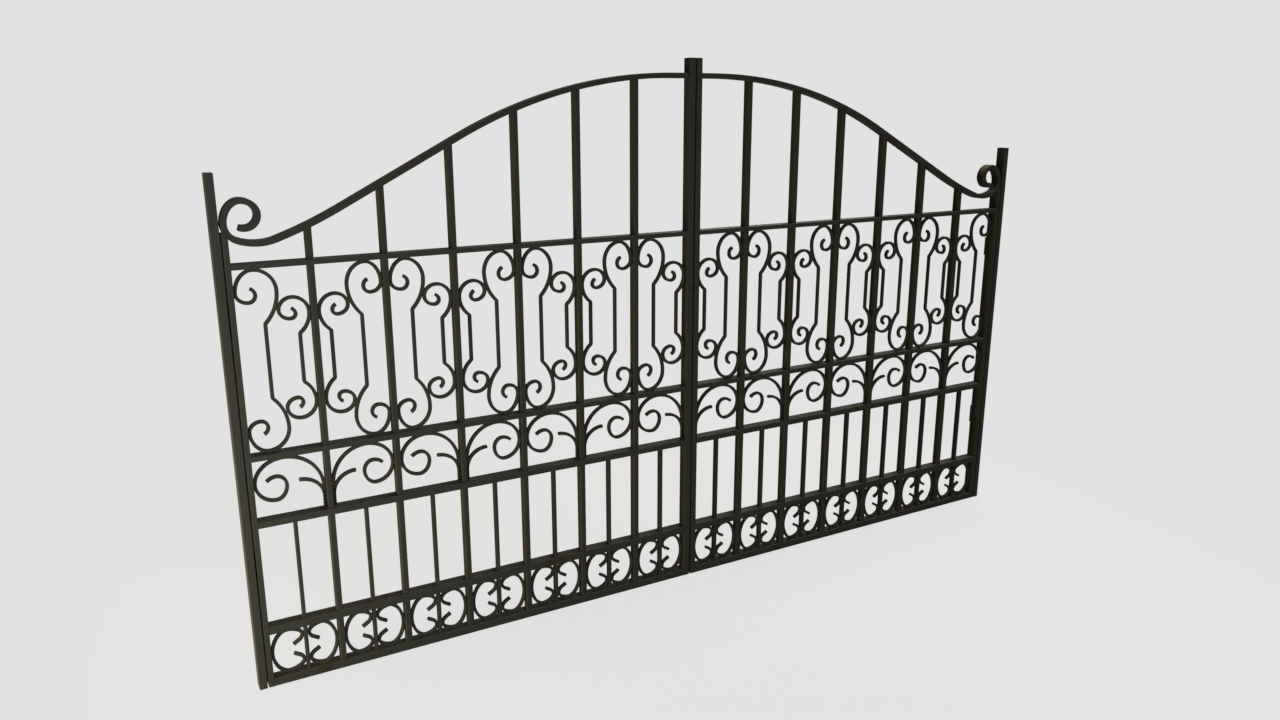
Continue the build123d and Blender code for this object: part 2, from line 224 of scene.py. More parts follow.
def ease(shape, width, sharper_than=50, along=None):
    """Chamfers the sharp edges, or those along one axis, and marks the chamfers as arrises."""
    mark = shape.faces.layers.float.new("arris")
    mostly = 0.9
    closed = [edge for edge in shape.edges if len(edge.link_faces) == 2]
    sharp = [edge for edge in closed if edge.calc_face_angle() > radians(sharper_than)]
    if along is not None:
        ways = [(edge.verts[1].co - edge.verts[0].co).normalized() for edge in sharp]
        sharp = [edge for edge, way in zip(sharp, ways) if abs(way[along]) > mostly]
    made = bmesh.ops.bevel(
        shape, geom=sharp, offset=width, offset_type="OFFSET", segments=1, profile=0.5,
        affect="EDGES", clamp_overlap=True, miter_outer="SHARP")
    for face in made["faces"]:
        face[mark] = 1.0


def piece_from(mesh, shape, name, material, body, slot, *nodes):
    """Ends a smooth-shaded shape in its mesh, and makes a piece of it."""
    for face in shape.faces:
        face.smooth = True
    shape.to_mesh(mesh)
    shape.free()
    return piece_on(mesh, name, material, body, slot, *nodes)


def piece_on(mesh, name, material, body, slot, *nodes):
    """A mesh as a piece that rides on its body, in place of any CAD nodes. The shading follows its
    larger faces, so that only the arrises look rounded."""
    mesh.name = name
    mesh.materials.clear()
    mesh.materials.append(material)
    piece = bpy.data.objects.new(name, mesh)
    bpy.context.scene.collection.objects.link(piece)
    shading = piece.modifiers.new("flat faces stay flat", "WEIGHTED_NORMAL")
    shading.mode = "FACE_AREA"
    shading.weight = 100
    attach(piece, body)
    if nodes:
        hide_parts(*nodes)
    return piece


hands = {"left": -1, "right": 1}
for side in hands:
    mesh, shape = cleaned(f"{side}_post")
    ease(shape, frame_arris, sharper_than=35)
    piece_from(mesh, shape, f"{side}_post_painted", frame_iron, "posts", "frame_paint", f"{side}_post")

# Hinges. Two lift-off pairs for each leaf, turned from bar and welded to small plates: a pin in a
# knuckle on the back of the post, and an eye that drops over it on the back of the hanging stile.
MM = 0.001
centre_x = 1860.75
post_inner = 1846.75
stile_outer = 1841.75
seat = 0.3
hinge_heights = (420.0, 1330.0)
hinge_x = (post_inner + stile_outer) / 2
hinge_y = 36.5
pin_radius = 6.0
knuckle_radius = 10.0
knuckle_height = 45.0
plate_width = 17.0
plate_faces = (25.0, 31.0)
hinge_iron = painted_iron(
    "hinge paint", dark=(0.028, 0.027, 0.023), brown=(0.05, 0.036, 0.022), bare=(0.12, 0.10, 0.08),
    gloss=0.5, film={"Patch size": 30.0, "Thick from": 0.45, "Painted side light": 0.1},
    rub={"Amount": 0.8, "Stretch": 60.0}, settled={"Amount": 0.2},
    surface={"Dent size": 120.0, "Dents": 0.25, "Grain": 0.2}, bump=0.25)


def turn_from_bar(shape, outline, x, y, sides=32):
    """Adds a closed outline of (radius, height) pairs turned about an upright line."""
    rings = []
    for index in range(sides):
        angle = radians(360 * index / sides)
        places = [(x + r * cos(angle), y + r * sin(angle), z) for r, z in outline]
        rings.append([shape.verts.new([value * MM for value in place]) for place in places])
    for near, far in zip(rings, rings[1:] + rings[:1]):
        for index in range(len(outline)):
            following = (index + 1) % len(outline)
            if outline[index][0] or outline[following][0]:
                shape.faces.new((near[index], far[index], far[following], near[following]))


def add_block(shape, x_faces, y_faces, z_faces):
    """Adds a block between pairs of faces."""
    spans = [sorted(pair) for pair in (x_faces, y_faces, z_faces)]
    for vert in bmesh.ops.create_cube(shape, size=1.0)["verts"]:
        shares = [place + 0.5 for place in vert.co]
        vert.co = [(low + (high - low) * share) * MM for (low, high), share in zip(spans, shares)]


def hinge_half(side, parts_of):
    """One half of both hinges of a leaf: for each height, its turned outline and its plate."""
    hand = hands[side]
    hinge_arris = 0.0006
    shape = bmesh.new()
    for height in hinge_heights:
        outline, plate_inner, plate_outer, plate_z = parts_of(height)
        plate_x = (centre_x + hand * plate_inner, centre_x + hand * plate_outer)
        turn_from_bar(shape, outline, centre_x + hand * hinge_x, hinge_y)
        add_block(shape, plate_x, plate_faces, plate_z)
    bmesh.ops.remove_doubles(shape, verts=shape.verts, dist=0.000001)
    bmesh.ops.recalc_face_normals(shape, faces=shape.faces)
    ease(shape, hinge_arris)
    return shape


def pin_parts(height):
    """The knuckle on the post with the pin that stands on it, and the post's plate."""
    top = height + knuckle_height
    outline = [(0, height), (knuckle_radius, height), (knuckle_radius, top), (pin_radius, top),
               (pin_radius, top + knuckle_height + seat), (0, top + knuckle_height + seat)]
    return outline, post_inner, post_inner + plate_width, (height, top)


def eye_parts(height):
    """The bored eye that rests over the knuckle, and the stile's plate."""
    low = height + knuckle_height + seat
    top = low + knuckle_height
    bore = pin_radius + seat
    outline = [(bore, low), (knuckle_radius, low), (knuckle_radius, top), (bore, top)]
    return outline, stile_outer - plate_width, stile_outer, (low, top)


for side in hands:
    shape = hinge_half(side, pin_parts)
    piece_from(bpy.data.meshes.new("pins"), shape, f"{side}_pins_painted", hinge_iron, "posts",
               "hinge_iron", f"{side}_hinge_pins")
    shape = hinge_half(side, eye_parts)
    piece_from(bpy.data.meshes.new("eyes"), shape, f"{side}_eyes_painted", hinge_iron,
               f"{side}_leaf", "hinge_iron", f"{side}_hinge_eyes")

# Stiles and rails. The leaf's frame: a hanging stile by the post, a taller meeting stile at the
# middle of the gate, and five rails of the same depth, butted and welded between the two and
# ground flush.
rail_faces = {"bottom": (1.0, 30.0), "kick": (211.0, 240.5), "lower": (630.0, 654.5),
              "middle": (880.5, 900.0), "upper": (1556.5, 1575.0)}
for side in hands:
    for name in ("hanging_stile", "meeting_stile"):
        mesh, shape = cleaned(f"{side}_{name}")
        ease(shape, frame_arris, sharper_than=35)
        piece_from(mesh, shape, f"{side}_{name}_painted", frame_iron, f"{side}_leaf", "frame_paint",
                   f"{side}_{name}")
    for name in rail_faces:
        mesh, shape = cleaned(f"{side}_{name}_rail")
        ease(shape, frame_arris, along=0)
        piece_from(mesh, shape, f"{side}_{name}_rail_painted", frame_iron, f"{side}_leaf",
                   "frame_paint", f"{side}_{name}_rail")

# Upright bars. Six tall ones a leaf, cut between the rails and up to the arch, and seven thin ones
# in the two lowest panels. All are rolled steel, welded at both ends, with small even arrises.
bar_iron = painted_iron(
    "bar paint", dark=(0.0355, 0.0368, 0.0305), brown=(0.045, 0.0345, 0.0195),
    bare=(0.072, 0.054, 0.034), gloss=0.6,
    film={"Patch size": 11.0, "Thick from": 0.78, "Painted side light": 0.58},
    rub={"Amount": 0.4, "Stretch": 30.0}, settled={"Amount": 0.5},
    surface={"Dent size": 42.0, "Dents": 0.35, "Grain": 0.16}, bump=0.22)
for side in hands:
    for name, arris in (("tall_bars", 0.0009), ("thin_bars", 0.0007)):
        mesh, shape = cleaned(f"{side}_{name}")
        ease(shape, arris, sharper_than=40)
        piece_from(mesh, shape, f"{side}_{name}_painted", bar_iron, f"{side}_leaf", "bar_paint",
                   f"{side}_{name}")

# Arch rail. One steel bar a leaf, bent on the flat and welded to the meeting stile: level off it,
# down in a long S over the tall bars, and round into an open curl beside the post. A node tree
# sweeps the bar's section along its centre line.
meeting_edge = 29.25
arch_thick = 21.0
arch_depth = 44.0
arch_low = 1629.5
arch_iron = painted_iron(
    "arch paint", dark=(0.0345, 0.0358, 0.0297), brown=(0.044, 0.0345, 0.0215),
    bare=(0.07, 0.053, 0.034), gloss=0.58,
    film={"Patch size": 8.0, "Thick from": 0.73, "Painted side light": 0.42},
    rub={"Amount": 0.4, "Stretch": 28.0}, settled={"Amount": 0.5},
    surface={"Dent size": 46.0, "Dents": 0.5, "Grain": 0.16}, bump=0.3)

GEOMETRY = "NodeSocketGeometry"


def named_inputs(group, inputs):
    """Gives a node group its inputs, and returns each one's identifier by its name."""
    identifiers = {}
    for label, kind in inputs:
        socket = group.interface.new_socket(label, in_out="INPUT", socket_type=kind)
        identifiers[label] = socket.identifier
    return identifiers


sweep = bpy.data.node_groups.new("bent flat bar", "GeometryNodeTree")
sweep_inputs = (("Path", GEOMETRY), ("Thickness", FLOAT), ("Depth", FLOAT), ("Arris", FLOAT),
                ("Paint", "NodeSocketMaterial"))
sweep_sockets = named_inputs(sweep, sweep_inputs)
sweep.interface.new_socket("Bar", in_out="OUTPUT", socket_type=GEOMETRY)
sweep_in = sweep.nodes.new("NodeGroupInput")
sweep_out = sweep.nodes.new("NodeGroupOutput")
section = add_node(sweep, "GeometryNodeCurvePrimitiveQuadrilateral", mode="RECTANGLE")
eased = add_node(sweep, "GeometryNodeFilletCurve", {"Count": 1}, mode="POLY")
bar = add_node(sweep, "GeometryNodeCurveToMesh", {"Fill Caps": True})
facing = add_node(sweep, "GeometryNodeInputNormal")
split = add_node(sweep, "ShaderNodeSeparateXYZ")
tilt = add_node(sweep, "ShaderNodeMath", operation="ABSOLUTE")
slanted = add_node(sweep, "ShaderNodeMath", {1: 0.7, 2: 0.2}, operation="COMPARE")
marked = add_node(sweep, "GeometryNodeStoreNamedAttribute", {"Name": "arris"}, domain="FACE")
upright = add_node(sweep, "GeometryNodeTransform", {"Rotation": (radians(90), 0, 0)})
smooth = add_node(sweep, "GeometryNodeSetShadeSmooth")
whole = add_node(sweep, "GeometryNodeRealizeInstances")
coat = add_node(sweep, "GeometryNodeSetMaterial")
sweep.links.new(sweep_in.outputs["Thickness"], section.inputs["Width"])
sweep.links.new(sweep_in.outputs["Depth"], section.inputs["Height"])
sweep.links.new(section.outputs[0], eased.inputs["Curve"])
sweep.links.new(sweep_in.outputs["Arris"], eased.inputs["Radius"])
sweep.links.new(sweep_in.outputs["Path"], bar.inputs["Curve"])
sweep.links.new(eased.outputs[0], bar.inputs["Profile Curve"])
sweep.links.new(facing.outputs[0], split.inputs[0])
sweep.links.new(split.outputs["Z"], tilt.inputs[0])
sweep.links.new(tilt.outputs[0], slanted.inputs[0])
sweep.links.new(bar.outputs[0], marked.inputs["Geometry"])
sweep.links.new(slanted.outputs[0], marked.inputs["Value"])
sweep.links.new(marked.outputs[0], upright.inputs["Geometry"])
sweep.links.new(upright.outputs[0], smooth.inputs["Geometry"])
sweep.links.new(smooth.outputs[0], whole.inputs["Geometry"])
sweep.links.new(whole.outputs[0], coat.inputs["Geometry"])
sweep.links.new(sweep_in.outputs["Paint"], coat.inputs["Material"])
sweep.links.new(coat.outputs[0], sweep_out.inputs[0])


def quarter(ahead, sideways):
    """Three tangent arcs that make a quarter turn with the given reach ahead and sideways."""
    turn = 30
    share = (sin(radians(turn)) + cos(radians(turn))) / 2
    first = (share * ahead - (1 - share) * sideways) / (2 * share - 1)
    last = (share * sideways - (1 - share) * ahead) / (2 * share - 1)
    return [(first, turn), ((first + last) / 2, turn), (last, turn)]


def turned(steps, hand):
    """The same steps with their arcs turned to one hand."""
    return [(radius, amount * hand if radius else amount) for radius, amount in steps]


def centre_line(start, heading, steps, finest=6.0, longest=40.0):
    """Points along a bent bar's centre line. A step is an arc's radius and turn, or None and a
    straight's length. An arc has a point every few degrees, or more often where it is wide."""
    x, y = start
    angle = radians(heading)
    line = [(x, y)]
    for radius, amount in steps:
        if radius is None:
            x += amount * cos(angle)
            y += amount * sin(angle)
            line.append((x, y))
            continue
        hand = 1 if amount > 0 else -1
        count = max(2, ceil(max(abs(amount) / finest, radius * radians(abs(amount)) / longest)))
        for _ in range(count):
            following = angle + radians(amount) / count
            x += hand * radius * (sin(following) - sin(angle))
            y -= hand * radius * (cos(following) - cos(angle))
            angle = following
            line.append((x, y))
    return line


def swept(lines, name, sizes, material, body, slot, *nodes):
    """Bars of one section along each of the lines, which are in millimetres, x along and y up."""
    curve = bpy.data.curves.new(name, "CURVE")
    curve.dimensions = "3D"
    curve.twist_mode = "Z_UP"
    for line in lines:
        spline = curve.splines.new("POLY")
        spline.points.add(len(line) - 1)
        for point, (x, y) in zip(spline.points, line):
            point.co = (x * MM, y * MM, 0, 1)
    carrier = bpy.data.objects.new(name + "_path", curve)
    bpy.context.scene.collection.objects.link(carrier)
    modifier = carrier.modifiers.new("bar", "NODES")
    modifier.node_group = sweep
    for label, value in sizes.items():
        modifier[sweep_sockets[label]] = value * MM
    modifier[sweep_sockets["Paint"]] = material
    evaluated = carrier.evaluated_get(bpy.context.evaluated_depsgraph_get())
    mesh = bpy.data.meshes.new_from_object(evaluated)
    bpy.data.objects.remove(carrier)
    return piece_on(mesh, name, material, body, slot, *nodes)


def along_leaf(line, side):
    """A line measured outwards from the middle of the gate, set in the leaf of one side."""
    return [(centre_x + hands[side] * x, y) for x, y in line]


def reach(steps, heading=0):
    """How far the steps lead, along and up."""
    return centre_line((0, 0), heading, steps)[-1]


crown_flat = 71.0
crown_radius = 1955.0
crown_turn = 27.7
dip = (1640.0, 8.3)
heel = (180.0, crown_turn - dip[1])
heel_past = (180.0, 20.5)
curl = (61.0, 90 - heel_past[1])
curl_roll = quarter(75.0, 56.0) + quarter(53.0, 47.0)
curl_tip = (45.0, 112.0)
crown_part = [(None, crown_flat), (crown_radius, -crown_turn)]
to_fill = stile_outer - arch_thick / 2 - meeting_edge
filled = reach(crown_part)[0] + reach([dip, heel], -crown_turn)[0] + reach([heel_past, curl])[0]
straight = (to_fill - filled) / cos(radians(crown_turn))
arch_fall = crown_part + [(None, straight), dip, heel]
arch_steps = arch_fall + [heel_past, curl] + curl_roll + [curl_tip]
arch_top = arch_low + arch_thick / 2 - reach(arch_fall)[1]
for side in hands:
    line = centre_line((meeting_edge, arch_top), 0, arch_steps, finest=5.0)
    sizes = {"Thickness": arch_thick, "Depth": arch_depth, "Arris": 1.3}
    swept([along_leaf(line, side)], f"{side}_arch_painted", sizes, arch_iron, f"{side}_leaf",
          "arch_paint", f"{side}_arch_rail")

# Bracket scrolls. Between the middle and upper rails each bay has a large scroll and a small one,
# both 12 x 14 mm bar bent hot round a former and tacked to the bars and rails, with their shanks
# towards each other.
scroll_iron = painted_iron(
    "scroll paint", dark=(0.036, 0.0372, 0.0308), brown=(0.044, 0.035, 0.0225),
    bare=(0.072, 0.055, 0.036), gloss=0.58,
    film={"Patch size": 16.0, "Thick from": 0.72, "Painted side light": 0.40},
    rub={"Amount": 0.35, "Stretch": 40.0}, settled={"Amount": 0.5},
    surface={"Dent size": 75.0, "Dents": 0.7, "Grain": 0.18}, bump=0.4)
scroll_sizes = {"Thickness": 12.0, "Depth": 14.0, "Arris": 1.1}
lean = seat + scroll_sizes["Thickness"] / 2
bar_width = 21.0
bar_pitch = 257.5
bar_count = 6
first_bay = bar_pitch - bar_width
first_bar = meeting_edge + first_bay + bar_width / 2
bar_places = [first_bar + bar_pitch * index for index in range(bar_count)]
stile_inner = 1822.25
faces_in = [meeting_edge] + [x + bar_width / 2 for x in bar_places]
faces_out = [x - bar_width / 2 for x in bar_places] + [stile_inner]
middle_under, middle_top = rail_faces["middle"]
upper_under = rail_faces["upper"][0]
panel_middle = (middle_top + upper_under) / 2
panel_half = (upper_under - middle_top) / 2
kink_radius = 9.0
tip_turn = 67.0


def home_bays():
    """Bays by the face that the stem and small scroll lean on, the way across, and the width."""
    homes = []
    for index, (inner, outer) in enumerate(zip(faces_in, faces_out)):
        home = (inner, 1) if index % 2 == 0 else (outer, -1)
        homes.append((*home, outer - inner))
    return homes


def in_bay(line, home, toward, height, side):
    """A line of a bay, from its home face outwards or inwards, set in the leaf."""
    return along_leaf([(home + toward * x, height + y) for x, y in line], side)


def both_ways(line):
    """A half scroll and its mirror image below, as one bar."""
    return [(x, -y) for x, y in reversed(line)] + line[1:]


small_turn = 51.0
small_flank = 90.5
small_belly = 161.0
small_crown = (57.0, 55.2)
small_shoulder = (46.0, 42.4)
small_curl = quarter(32.9, 37.3) + quarter(17.9, 16.5) + [(21.0, tip_turn)]
small_shank = lean + (kink_radius + small_flank) * (1 - cos(radians(small_turn)))
small_steps = [(None, small_belly - (kink_radius + small_flank) * sin(radians(small_turn)))]
small_steps += [(kink_radius, small_turn), (small_flank, -small_turn)]
small_steps += turned(quarter(*small_crown) + quarter(*small_shoulder) + small_curl, -1)

large_turn = 44.0
large_flank = 157.0
large_rise = 77.5
large_fall = 76.0
large_share = 0.55
large_curl = quarter(35.3, 39.4) + quarter(24.2, 24.4) + [(25.5, tip_turn)]
shoulder = quarter(*small_shoulder)[-1][0]
shoulder_at = (lean + small_crown[1] + small_shoulder[0] - shoulder,
               small_belly + small_crown[0] - small_shoulder[1])
large_belly_height = panel_half - lean - large_rise
touching = large_flank + shoulder + scroll_sizes["Thickness"] + seat
climb = large_belly_height - shoulder_at[1]
large_belly = shoulder_at[0] + sqrt(touching**2 - climb**2) - large_flank
large_shank = large_belly + (kink_radius + large_flank) * (1 - cos(radians(large_turn)))


def large_steps(clear):
    """Half of a large scroll, from the middle of its shank, in a bay of the given clear width."""
    width = clear - lean - large_belly
    crown = large_share * width
    steps = [(None, large_belly_height - (kink_radius + large_flank) * sin(radians(large_turn)))]
    steps += [(kink_radius, large_turn), (large_flank, -large_turn)]
    crest = quarter(large_rise, crown) + quarter(width - crown, large_fall)
    return steps + turned(crest + large_curl, -1)


for side in hands:
    large_lines = []
    small_lines = []
    for home, toward, clear in home_bays():
        half = centre_line((large_shank, 0), 90, large_steps(clear))
        large_lines.append(in_bay(both_ways(half), home, toward, panel_middle, side))
        half = centre_line((small_shank, 0), 90, small_steps)
        small_lines.append(in_bay(both_ways(half), home, toward, panel_middle, side))
    swept(large_lines, f"{side}_large_scrolls_forged", scroll_sizes, scroll_iron, f"{side}_leaf",
          "scroll_iron", f"{side}_large_scrolls")
    swept(small_lines, f"{side}_small_scrolls_forged", scroll_sizes, scroll_iron, f"{side}_leaf",
          "scroll_iron", f"{side}_small_scrolls")

# Palmettes. On the lower rail a volute rises beside one upright, rolls over to the next and curls
# in; a short leaf springs from the same stem. Both are the scroll bar, forge-welded at the root.
lower_top = rail_faces["lower"][1]
stem = 87.0
volute_share = 0.57
volute_fall = 86.5
volute_curl = quarter(69.3, 67.9) + quarter(39.8, 50.4) + quarter(38.0, 34.0) + [(48.5, 44.5)]
leaf_steps = [(None, 46.5), (77.0, -57.5), (88.0, -33.5)]


def volute_steps(clear):
    """A volute, from its root, in a bay of the given clear width."""
    width = clear - 2 * lean
    crown = volute_share * width
    top = middle_under - lower_top - lean
    crest = quarter(top - stem, crown) + quarter(width - crown, volute_fall)
    return [(None, stem)] + turned(crest + volute_curl, -1)


for side in hands:
    lines = []
    for home, toward, clear in home_bays():
        for steps in (volute_steps(clear), leaf_steps):
            lines.append(in_bay(centre_line((lean, 0), 90, steps), home, toward, lower_top, side))
    swept(lines, f"{side}_palmettes_forged", scroll_sizes, scroll_iron, f"{side}_leaf",
          "scroll_iron", f"{side}_palmettes")

# C scrolls. The kick panel has one in each half bay, bent from the scroll bar, its back tacked to
# the upright and its two beaks turned in at the thin bar.
bottom_top = rail_faces["bottom"][1]
kick_under = rail_faces["kick"][0]
thin_width = 12.0
thin_places = [(meeting_edge + faces_out[0]) / 2] + [x + bar_pitch / 2 for x in bar_places]
kick_middle = (bottom_top + kick_under) / 2
kick_half = (kick_under - bottom_top) / 2
c_share = 0.51
c_fall = 29.3
c_beak = [(28.0, 59.5), (None, 24.0)]


def c_steps(clear):
    """Half of a C scroll, from the middle of its back, in a half bay of the given clear width."""
    width = clear - 2 * lean
    crown = c_share * width
    return turned(quarter(kick_half - lean, crown) + quarter(width - crown, c_fall) + c_beak, -1)


def half_bays():
    """Half bays by the face that the scroll's back leans on, the way across, and the width."""
    halves = []
    for inner, outer, thin in zip(faces_in, faces_out, thin_places):
        halves.append((inner, 1, thin - thin_width / 2 - inner))
        halves.append((outer, -1, outer - thin - thin_width / 2))
    return halves


for side in hands:
    lines = []
    for face, toward, clear in half_bays():
        half = centre_line((lean, 0), 90, c_steps(clear))
        lines.append(in_bay(both_ways(half), face, toward, kick_middle, side))
    swept(lines, f"{side}_c_scrolls_forged", scroll_sizes, scroll_iron, f"{side}_leaf",
          "scroll_iron", f"{side}_c_scrolls")

# Welds. Every joint is arc-welded and then painted over: a bead at each side of a bar where it
# meets a rail, beads round the rails' ends, and tacks where a scroll touches a bar or a rail.
weld_iron = painted_iron(
    "weld paint", dark=(0.029, 0.0285, 0.0235), brown=(0.044, 0.034, 0.022),
    bare=(0.08, 0.058, 0.036), gloss=0.6,
    film={"Patch size": 40.0, "Thick from": 0.45, "Painted side light": 0.1},
    rub={"Amount": 0.0, "Stretch": 40.0}, settled={"Amount": 0.12},
    surface={"Dent size": 420.0, "Dents": 0.9, "Grain": 0.2}, bump=0.5)
beads = bpy.data.node_groups.new("weld beads", "GeometryNodeTree")
bead_inputs = (("Joints", GEOMETRY), ("Roughness of bead", FLOAT), ("Paint", "NodeSocketMaterial"))
bead_sockets = named_inputs(beads, bead_inputs)
beads.interface.new_socket("Beads", in_out="OUTPUT", socket_type=GEOMETRY)
beads_in = beads.nodes.new("NodeGroupInput")
beads_out = beads.nodes.new("NodeGroupOutput")
blob = add_node(beads, "GeometryNodeMeshIcoSphere", {"Radius": 1.0, "Subdivisions": 2})
along = add_node(
    beads, "GeometryNodeInputNamedAttribute", {"Name": "bead_size"}, data_type="FLOAT_VECTOR")
points = add_node(beads, "GeometryNodeInstanceOnPoints")
whole = add_node(beads, "GeometryNodeRealizeInstances")
spot = add_node(beads, "GeometryNodeInputPosition")
lumps = add_node(beads, "ShaderNodeTexNoise", {"Scale": 260.0, "Detail": 2.0})
centred = add_node(beads, "ShaderNodeVectorMath", {1: (0.5, 0.5, 0.5)}, operation="SUBTRACT")
scaled = add_node(beads, "ShaderNodeVectorMath", operation="SCALE")
pushed = add_node(beads, "GeometryNodeSetPosition")
smooth = add_node(beads, "GeometryNodeSetShadeSmooth")
coat = add_node(beads, "GeometryNodeSetMaterial")
beads.links.new(beads_in.outputs["Joints"], points.inputs["Points"])
beads.links.new(blob.outputs["Mesh"], points.inputs["Instance"])
beads.links.new(along.outputs["Attribute"], points.inputs["Scale"])
beads.links.new(points.outputs[0], whole.inputs["Geometry"])
beads.links.new(spot.outputs[0], lumps.inputs["Vector"])
beads.links.new(lumps.outputs["Color"], centred.inputs[0])
beads.links.new(centred.outputs[0], scaled.inputs[0])
beads.links.new(beads_in.outputs["Roughness of bead"], scaled.inputs["Scale"])
beads.links.new(whole.outputs[0], pushed.inputs["Geometry"])
beads.links.new(scaled.outputs[0], pushed.inputs["Offset"])
beads.links.new(pushed.outputs[0], smooth.inputs["Geometry"])
beads.links.new(smooth.outputs[0], coat.inputs["Geometry"])
beads.links.new(beads_in.outputs["Paint"], coat.inputs["Material"])
beads.links.new(coat.outputs[0], beads_out.inputs[0])

rail_heights = list(rail_faces.values())
arch_line = centre_line((meeting_edge, arch_top), 0, arch_fall, finest=1.0)
bead_roughness = 0.9
lowest_bead = 3.0
ground_face = 23.9
ground_bead = (1.0, 0.6)
rail_bead = (2.0, 21.0, 2.0)
arch_bead = (2.2, 20.0, 2.2)
bar_bead = (1.9, 16.0, 1.9)
thin_bead = (1.6, 10.5, 1.6)
upright_tack = (2.0, 7.0)
level_tack = (7.0, 2.0)
stem_tack = (2.0, 12.0)
stem_tack_rise = 40.0
root_tack = (6.0, 2.0)
volute_tack = (8.0, 2.0)
volute_side_tack = (2.0, 8.0)
c_back_tack = (1.8, 7.0)
c_crown_tack = (6.0, 1.8)
c_side_tack = (1.8, 5.0)
tack_depth = 2.0
c_tack_depth = 1.8


def under_arch(x):
    """Height of the arch rail's underside over a place along the leaf."""
    for (x0, y0), (x1, y1) in zip(arch_line, arch_line[1:]):
        if x0 <= x <= x1:
            slope = (y1 - y0) / (x1 - x0)
            return y0 + slope * (x - x0) - arch_thick / 2 * sqrt(1 + slope**2)
    return arch_low


def frame_joints():
    """Beads round the rails' ends, and over and under the arch's end."""
    joints = []
    for under, over in rail_heights:
        middle, half = (under + over) / 2, (over - under) / 2
        for x in (meeting_edge, stile_inner):
            joints += [(x, 0, z, *rail_bead) for z in (max(under, lowest_bead), over)]
            joints += [(x, y, middle, *ground_bead, half) for y in (-ground_face, ground_face)]
    joints += [(meeting_edge, 0, arch_top + up * arch_thick / 2, *arch_bead) for up in (-1, 1)]
    return joints


def bar_joints(place, width, heights, bead):
    """Beads at both sides of a bar, at the foot and head of its length in each panel."""
    joints = []
    for (_, floor), (ceiling, _) in zip(heights, heights[1:]):
        for x in (place - width / 2, place + width / 2):
            joints += [(x, 0, z, *bead) for z in (floor, ceiling)]
    return joints


def bay_tacks(clear):
    """Tacks of a bay's scrolls and palmette as (across, height, half width, half height)."""
    large_crown = large_belly + large_share * (clear - lean - large_belly)
    volute_crown = lean + volute_share * (clear - 2 * lean)
    large_side = panel_half - lean - large_fall
    tacks = [(0, panel_middle + up * small_belly, *upright_tack) for up in (-1, 1)]
    tacks += [(large_crown, panel_middle + up * panel_half, *level_tack) for up in (-1, 1)]
    tacks += [(clear, panel_middle + up * large_side, *upright_tack) for up in (-1, 1)]
    tacks += [(0, lower_top + stem_tack_rise, *stem_tack), (lean, lower_top, *root_tack)]
    tacks += [(volute_crown, middle_under, *volute_tack)]
    tacks += [(clear, middle_under - lean - volute_fall, *volute_side_tack)]
    return tacks


def c_tacks(clear):
    """Tacks of a half bay's C scroll."""
    crown = lean + c_share * (clear - 2 * lean)
    side = kick_half - lean - c_fall
    tacks = [(0, kick_middle, *c_back_tack)]
    tacks += [(crown, kick_middle + up * kick_half, *c_crown_tack) for up in (-1, 1)]
    tacks += [(clear, kick_middle + up * side, *c_side_tack) for up in (-1, 1)]
    return tacks


def leaf_joints():
    """Weld places along a leaf as (x, y, z, half length along x, y and z), in millimetres."""
    joints = frame_joints()
    for place in bar_places:
        joints += bar_joints(place, bar_width, rail_heights, bar_bead)
        for x in (place - bar_width / 2, place + bar_width / 2):
            joints += [(x, 0, z, *bar_bead) for z in (rail_heights[-1][1], under_arch(x))]
    lowest_panels = rail_heights[:3]
    for place in thin_places:
        joints += bar_joints(place, thin_width, lowest_panels, thin_bead)
    front = scroll_sizes["Depth"] / 2
    for home, toward, clear in home_bays():
        for x, z, wide, high in bay_tacks(clear):
            joints += [(home + toward * x, y, z, wide, tack_depth, high) for y in (-front, front)]
    for face, toward, clear in half_bays():
        for x, z, wide, high in c_tacks(clear):
            joints += [(face + toward * x, y, z, wide, c_tack_depth, high) for y in (-front, front)]
    return joints


for side, hand in hands.items():
    joints = leaf_joints()
    spots = [((centre_x + hand * x) * MM, y * MM, z * MM) for x, y, z, *_ in joints]
    places = bpy.data.meshes.new(f"{side}_weld_places")
    places.from_pydata(spots, [], [])
    size = places.attributes.new("bead_size", "FLOAT_VECTOR", "POINT")
    for item, joint in zip(size.data, joints):
        item.vector = [value * MM for value in joint[3:]]
    carrier = bpy.data.objects.new(f"{side}_weld_places", places)
    bpy.context.scene.collection.objects.link(carrier)
    modifier = carrier.modifiers.new("beads", "NODES")
    modifier.node_group = beads
    modifier[bead_sockets["Roughness of bead"]] = bead_roughness * MM
    modifier[bead_sockets["Paint"]] = weld_iron
    evaluated = carrier.evaluated_get(bpy.context.evaluated_depsgraph_get())
    mesh = bpy.data.meshes.new_from_object(evaluated)
    bpy.data.objects.remove(carrier)
    piece_on(mesh, f"{side}_leaf_welds", weld_iron, f"{side}_leaf", "frame_paint")

# Floor and light. A pale studio floor that runs out of sight under an even sky, both of one tone
# to the camera, with the gate's soft shadow kept near its foot. Soft lamps stand at both sides of
# the camera, behind the gate, overhead to the right and, warm and low, beyond the left post.
backdrop = 0.7605
lit_share = 0.15
glow_by_gate = 0.829
seen_albedo = 0.38
bounce_albedo = 0.10
narrower_in_depth = 0.6


def seen_directly(tree):
    """1 for rays from the camera, off a mirror or through glass."""
    path = tree.nodes.new("ShaderNodeLightPath")
    seen = path.outputs["Is Camera Ray"]
    for label in ("Is Glossy Ray", "Is Transmission Ray"):
        either = add_node(tree, "ShaderNodeMath", operation="MAXIMUM")
        tree.links.new(seen, either.inputs[0])
        tree.links.new(path.outputs[label], either.inputs[1])
        seen = either.outputs[0]
    return seen


